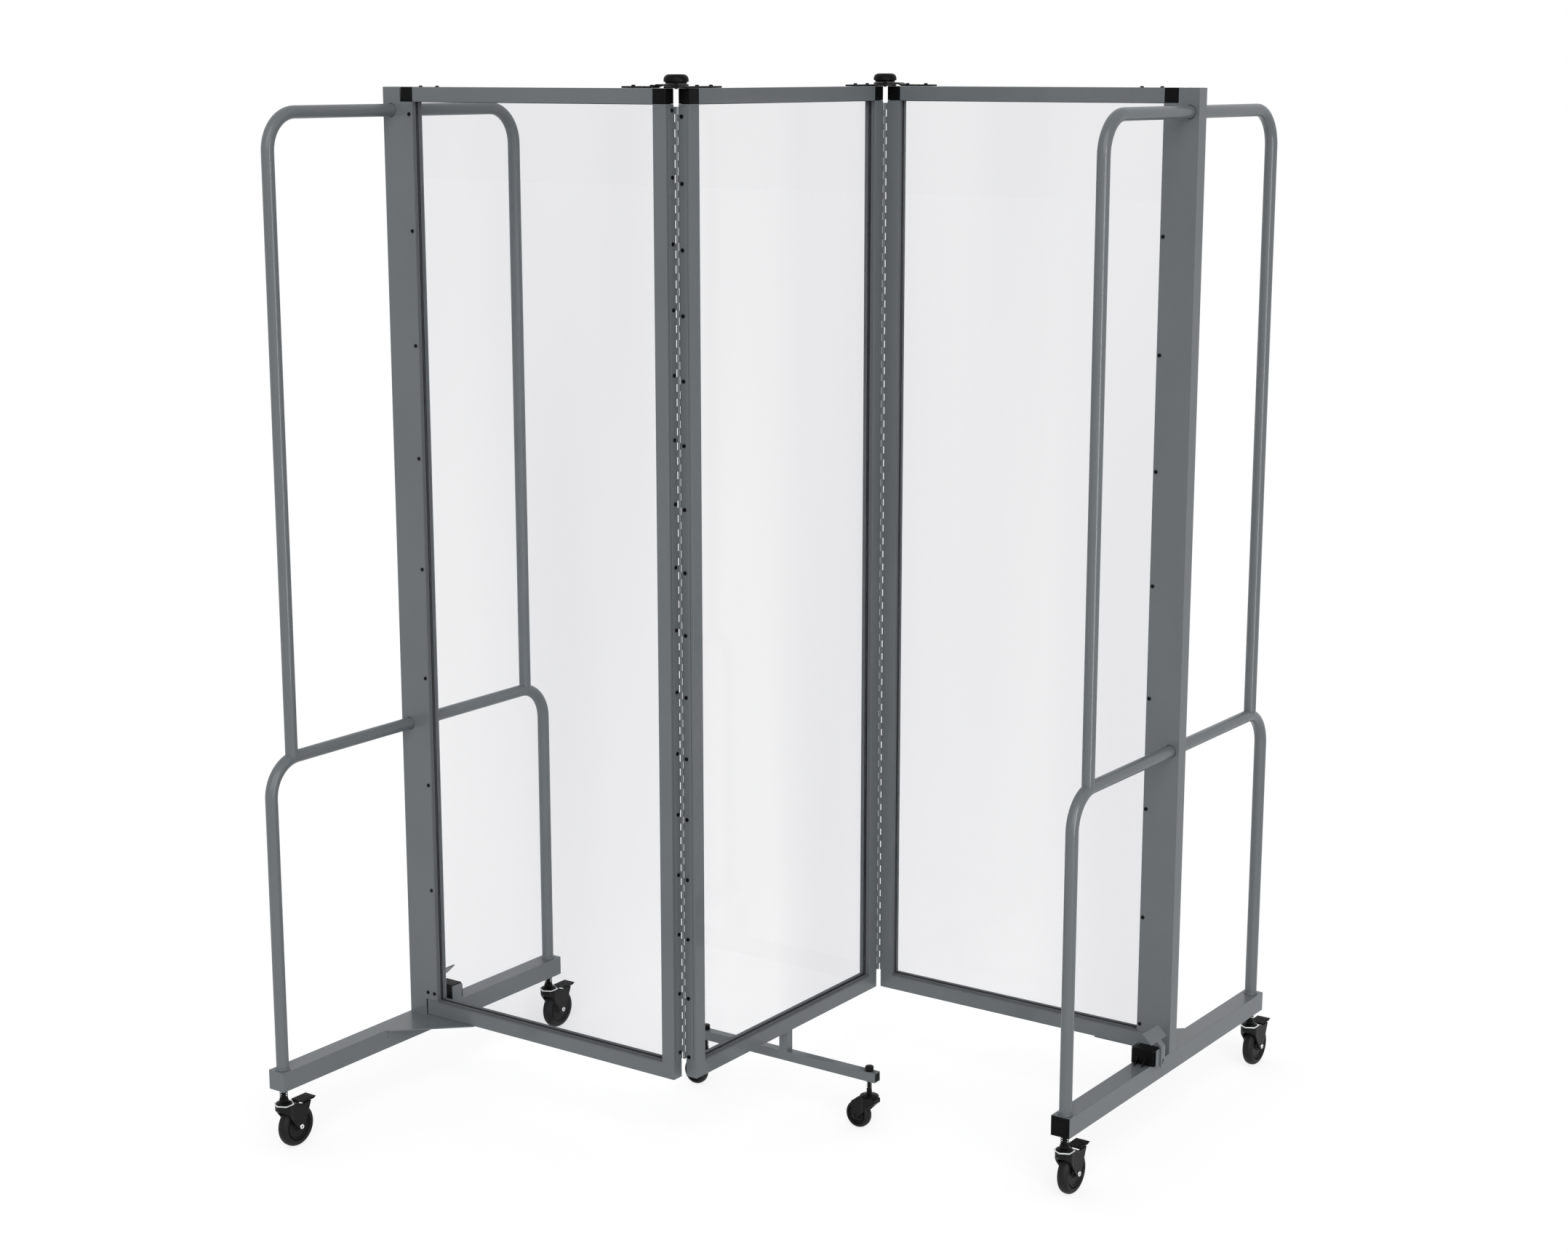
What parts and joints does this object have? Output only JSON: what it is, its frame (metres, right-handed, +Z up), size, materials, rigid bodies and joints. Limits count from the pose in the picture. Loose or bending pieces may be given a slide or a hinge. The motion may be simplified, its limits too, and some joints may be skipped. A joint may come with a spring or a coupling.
{
  "type": "folding room screen on wheels",
  "caption": "Three-section folding screen with clear panels in grey frames, full-length hinges, a wheeled end frame with side hoops at each end and a small wheeled foot in the middle.",
  "frame": {"origin": "on the floor, under the middle of the object's bounding box", "axes": "+Z up; +X along the two end sections, from left to right; +Y along the base rails, away from the front"},
  "size_m": [1.2956, 1.4168, 1.8635],
  "materials": {
    "grey_coat": "satin grey powder coat with a faint orange-peel",
    "clear_sheet": "clear polished acrylic sheet",
    "black_plastic": "fine-grained moulded",
    "caster_plastic": "smooth moulded, slightly glossy",
    "tread": "moulded tread",
    "stem_steel": "black collar with a bright zinc nut plate",
    "spring_steel": "oil-darkened spring wire",
    "pivot_steel": "black satin"
  },
  "bodies": {
    "middle_section": {"middle_frame": "grey_coat", "middle_glazing": "clear_sheet", "middle_cap_left": "black_plastic", "middle_cap_right": "black_plastic", "middle_leaf_left": "grey_coat", "middle_leaf_right": "grey_coat", "middle_plate_left": "pivot_steel", "middle_plate_right": "pivot_steel", "foot_rail": "grey_coat", "foot_left_spring": "spring_steel", "foot_right_spring": "spring_steel"},
    "left_section": {"left_frame": "grey_coat", "left_glazing": "clear_sheet", "left_cap_inner": "black_plastic", "left_cap_outer": "black_plastic", "left_leaf": "grey_coat", "left_plate": "pivot_steel", "left_end_frame": "grey_coat", "left_hoop": "grey_coat", "left_latch_block": "black_plastic", "left_front_spring": "spring_steel", "left_rear_spring": "spring_steel"},
    "right_section": {"right_frame": "grey_coat", "right_glazing": "clear_sheet", "right_cap_inner": "black_plastic", "right_cap_outer": "black_plastic", "right_leaf": "grey_coat", "right_plate": "pivot_steel", "right_end_frame": "grey_coat", "right_hoop": "grey_coat", "right_latch_block": "black_plastic", "right_front_spring": "spring_steel", "right_rear_spring": "spring_steel"},
    "knob_left": {"knob_left": "black_plastic"},
    "left_latch_lever": {"left_latch_lever": "grey_coat"},
    "knob_right": {"knob_right": "black_plastic"},
    "right_latch_lever": {"right_latch_lever": "grey_coat"},
    "left_front_stem": {"left_front_stem": "stem_steel"},
    "left_front_fork": {"left_front_fork": "caster_plastic"},
    "left_front_wheel": {"left_front_wheel": "tread"},
    "left_front_pedal": {"left_front_pedal": "caster_plastic"},
    "left_rear_stem": {"left_rear_stem": "stem_steel"},
    "left_rear_fork": {"left_rear_fork": "caster_plastic"},
    "left_rear_wheel": {"left_rear_wheel": "tread"},
    "left_rear_pedal": {"left_rear_pedal": "caster_plastic"},
    "right_front_stem": {"right_front_stem": "stem_steel"},
    "right_front_fork": {"right_front_fork": "caster_plastic"},
    "right_front_wheel": {"right_front_wheel": "tread"},
    "right_front_pedal": {"right_front_pedal": "caster_plastic"},
    "right_rear_stem": {"right_rear_stem": "stem_steel"},
    "right_rear_fork": {"right_rear_fork": "caster_plastic"},
    "right_rear_wheel": {"right_rear_wheel": "tread"},
    "right_rear_pedal": {"right_rear_pedal": "caster_plastic"},
    "foot_left_stem": {"foot_left_stem": "stem_steel"},
    "foot_left_fork": {"foot_left_fork": "caster_plastic"},
    "foot_left_wheel": {"foot_left_wheel": "tread"},
    "foot_right_stem": {"foot_right_stem": "stem_steel"},
    "foot_right_fork": {"foot_right_fork": "caster_plastic"},
    "foot_right_wheel": {"foot_right_wheel": "tread"}
  },
  "joints": [
    {"name": "left_fold", "type": "hinge", "parent": "middle_section", "child": "left_section", "pos_m": [-0.0116, -0.31611, 1], "axis": [0, 0, 1], "range_deg": [-89, 90]},
    {"name": "right_fold", "type": "hinge", "parent": "middle_section", "child": "right_section", "pos_m": [0.0116, 0.26909, 1], "axis": [0, 0, 1], "range_deg": [-89, 90]},
    {"name": "knob_left_turn", "type": "hinge", "parent": "middle_section", "child": "knob_left", "pos_m": [-0.0116, -0.31611, 1.85], "axis": [0, 0, 1], "continuous": true},
    {"name": "knob_right_turn", "type": "hinge", "parent": "middle_section", "child": "knob_right", "pos_m": [0.0116, 0.26909, 1.85], "axis": [0, 0, 1], "continuous": true},
    {"name": "left_latch_turn", "type": "hinge", "parent": "left_section", "child": "left_latch_lever", "pos_m": [-0.6438, -0.26091, 0.1555], "axis": [1, 0, 0], "range_deg": [-8, 8]},
    {"name": "right_latch_turn", "type": "hinge", "parent": "right_section", "child": "right_latch_lever", "pos_m": [0.6438, 0.21389, 0.1555], "axis": [1, 0, 0], "range_deg": [-8, 8]},
    {"name": "left_front_spring_travel", "type": "slide", "parent": "left_section", "child": "left_front_stem", "axis": [0, 0, 1], "range_m": [0, 0.008], "stiffness_N_per_m": 12000, "springref_m": -0.02, "deforming": ["left_front_spring"]},
    {"name": "left_front_swivel", "type": "hinge", "parent": "left_front_stem", "child": "left_front_fork", "pos_m": [-0.61395, -0.69011, 0.0845], "axis": [0, 0, 1], "continuous": true},
    {"name": "left_front_spin", "type": "hinge", "parent": "left_front_fork", "child": "left_front_wheel", "pos_m": [-0.61395, -0.66411, 0.038], "axis": [1, 0, 0], "continuous": true},
    {"name": "left_front_brake", "type": "hinge", "parent": "left_front_fork", "child": "left_front_pedal", "pos_m": [-0.61395, -0.64411, 0.0758], "axis": [1, 0, 0], "range_deg": [-4, 4]},
    {"name": "left_rear_spring_travel", "type": "slide", "parent": "left_section", "child": "left_rear_stem", "axis": [0, 0, 1], "range_m": [0, 0.008], "stiffness_N_per_m": 12000, "springref_m": -0.02, "deforming": ["left_rear_spring"]},
    {"name": "left_rear_swivel", "type": "hinge", "parent": "left_rear_stem", "child": "left_rear_fork", "pos_m": [-0.61395, 0.03469, 0.0845], "axis": [0, 0, 1], "continuous": true},
    {"name": "left_rear_spin", "type": "hinge", "parent": "left_rear_fork", "child": "left_rear_wheel", "pos_m": [-0.61395, 0.06069, 0.038], "axis": [1, 0, 0], "continuous": true},
    {"name": "left_rear_brake", "type": "hinge", "parent": "left_rear_fork", "child": "left_rear_pedal", "pos_m": [-0.61395, 0.08069, 0.0758], "axis": [1, 0, 0], "range_deg": [-4, 4]},
    {"name": "right_front_spring_travel", "type": "slide", "parent": "right_section", "child": "right_front_stem", "axis": [0, 0, 1], "range_m": [0, 0.008], "stiffness_N_per_m": 12000, "springref_m": -0.02, "deforming": ["right_front_spring"]},
    {"name": "right_front_swivel", "type": "hinge", "parent": "right_front_stem", "child": "right_front_fork", "pos_m": [0.61395, -0.08171, 0.0845], "axis": [0, 0, 1], "continuous": true},
    {"name": "right_front_spin", "type": "hinge", "parent": "right_front_fork", "child": "right_front_wheel", "pos_m": [0.61395, -0.05571, 0.038], "axis": [1, 0, 0], "continuous": true},
    {"name": "right_front_brake", "type": "hinge", "parent": "right_front_fork", "child": "right_front_pedal", "pos_m": [0.61395, -0.03571, 0.0758], "axis": [1, 0, 0], "range_deg": [-4, 4]},
    {"name": "right_rear_spring_travel", "type": "slide", "parent": "right_section", "child": "right_rear_stem", "axis": [0, 0, 1], "range_m": [0, 0.008], "stiffness_N_per_m": 12000, "springref_m": -0.02, "deforming": ["right_rear_spring"]},
    {"name": "right_rear_swivel", "type": "hinge", "parent": "right_rear_stem", "child": "right_rear_fork", "pos_m": [0.61395, 0.64309, 0.0845], "axis": [0, 0, 1], "continuous": true},
    {"name": "right_rear_spin", "type": "hinge", "parent": "right_rear_fork", "child": "right_rear_wheel", "pos_m": [0.61395, 0.66909, 0.038], "axis": [1, 0, 0], "continuous": true},
    {"name": "right_rear_brake", "type": "hinge", "parent": "right_rear_fork", "child": "right_rear_pedal", "pos_m": [0.61395, 0.68909, 0.0758], "axis": [1, 0, 0], "range_deg": [-4, 4]},
    {"name": "foot_left_spring_travel", "type": "slide", "parent": "middle_section", "child": "foot_left_stem", "axis": [0, 0, 1], "range_m": [0, 0.008], "stiffness_N_per_m": 9000, "springref_m": -0.02, "deforming": ["foot_left_spring"]},
    {"name": "foot_left_swivel", "type": "hinge", "parent": "foot_left_stem", "child": "foot_left_fork", "pos_m": [-0.183, -0.02351, 0.0625], "axis": [0, 0, 1], "continuous": true},
    {"name": "foot_left_spin", "type": "hinge", "parent": "foot_left_fork", "child": "foot_left_wheel", "pos_m": [-0.20594, -0.0219, 0.025], "axis": [0.0698, 0.9976, 0], "continuous": true},
    {"name": "foot_right_spring_travel", "type": "slide", "parent": "middle_section", "child": "foot_right_stem", "axis": [0, 0, 1], "range_m": [0, 0.008], "stiffness_N_per_m": 9000, "springref_m": -0.02, "deforming": ["foot_right_spring"]},
    {"name": "foot_right_swivel", "type": "hinge", "parent": "foot_right_stem", "child": "foot_right_fork", "pos_m": [0.183, -0.02351, 0.0625], "axis": [0, 0, 1], "continuous": true},
    {"name": "foot_right_spin", "type": "hinge", "parent": "foot_right_fork", "child": "foot_right_wheel", "pos_m": [0.16006, -0.0219, 0.025], "axis": [0.0698, 0.9976, 0], "continuous": true}
  ],
  "couplings": [
    {"joint": "right_fold", "follows": "left_fold", "ratio": 1}
  ]
}
